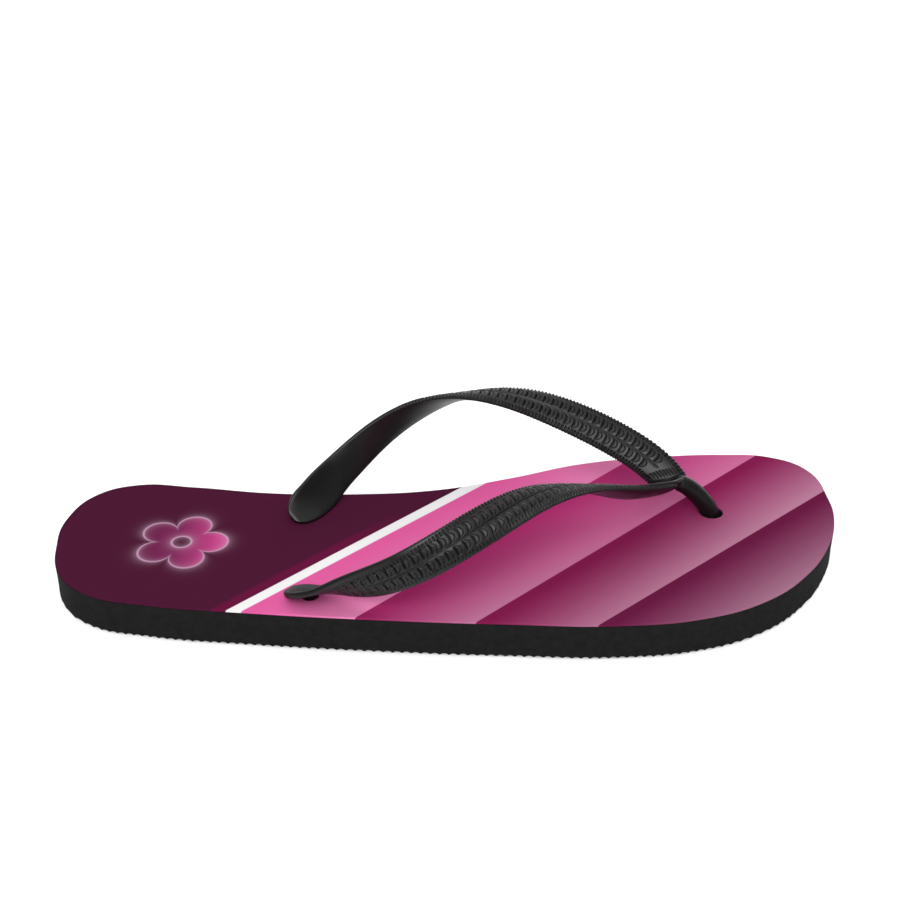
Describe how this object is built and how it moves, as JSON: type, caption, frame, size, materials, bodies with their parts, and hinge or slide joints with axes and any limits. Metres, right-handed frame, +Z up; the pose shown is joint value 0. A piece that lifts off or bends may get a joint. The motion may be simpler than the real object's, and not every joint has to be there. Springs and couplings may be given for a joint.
{
  "type": "flip flop",
  "caption": "Right-foot flip flop: flat foam rubber sole, printed fabric footbed and a moulded thong strap plugged through the sole.",
  "frame": {"origin": "on the ground under the middle of the object's bounding box", "axes": "+X towards the toes, +Y towards the inner (big toe) side of the foot, +Z up"},
  "size_m": [0.2733, 0.1058, 0.0511],
  "materials": {
    "sole_foam": "matte black closed-cell foam rubber, die-cut sides, fine pores",
    "printed_fabric": "short smooth polyester fabric with a plum, magenta, pink and white diagonal print",
    "strap_rubber": "black moulded soft rubber, satin; patterned outer face and smooth inner face"
  },
  "bodies": {
    "root": {"sole": "sole_foam", "footbed_cover": "printed_fabric", "strap": "strap_rubber"}
  },
  "joints": []
}
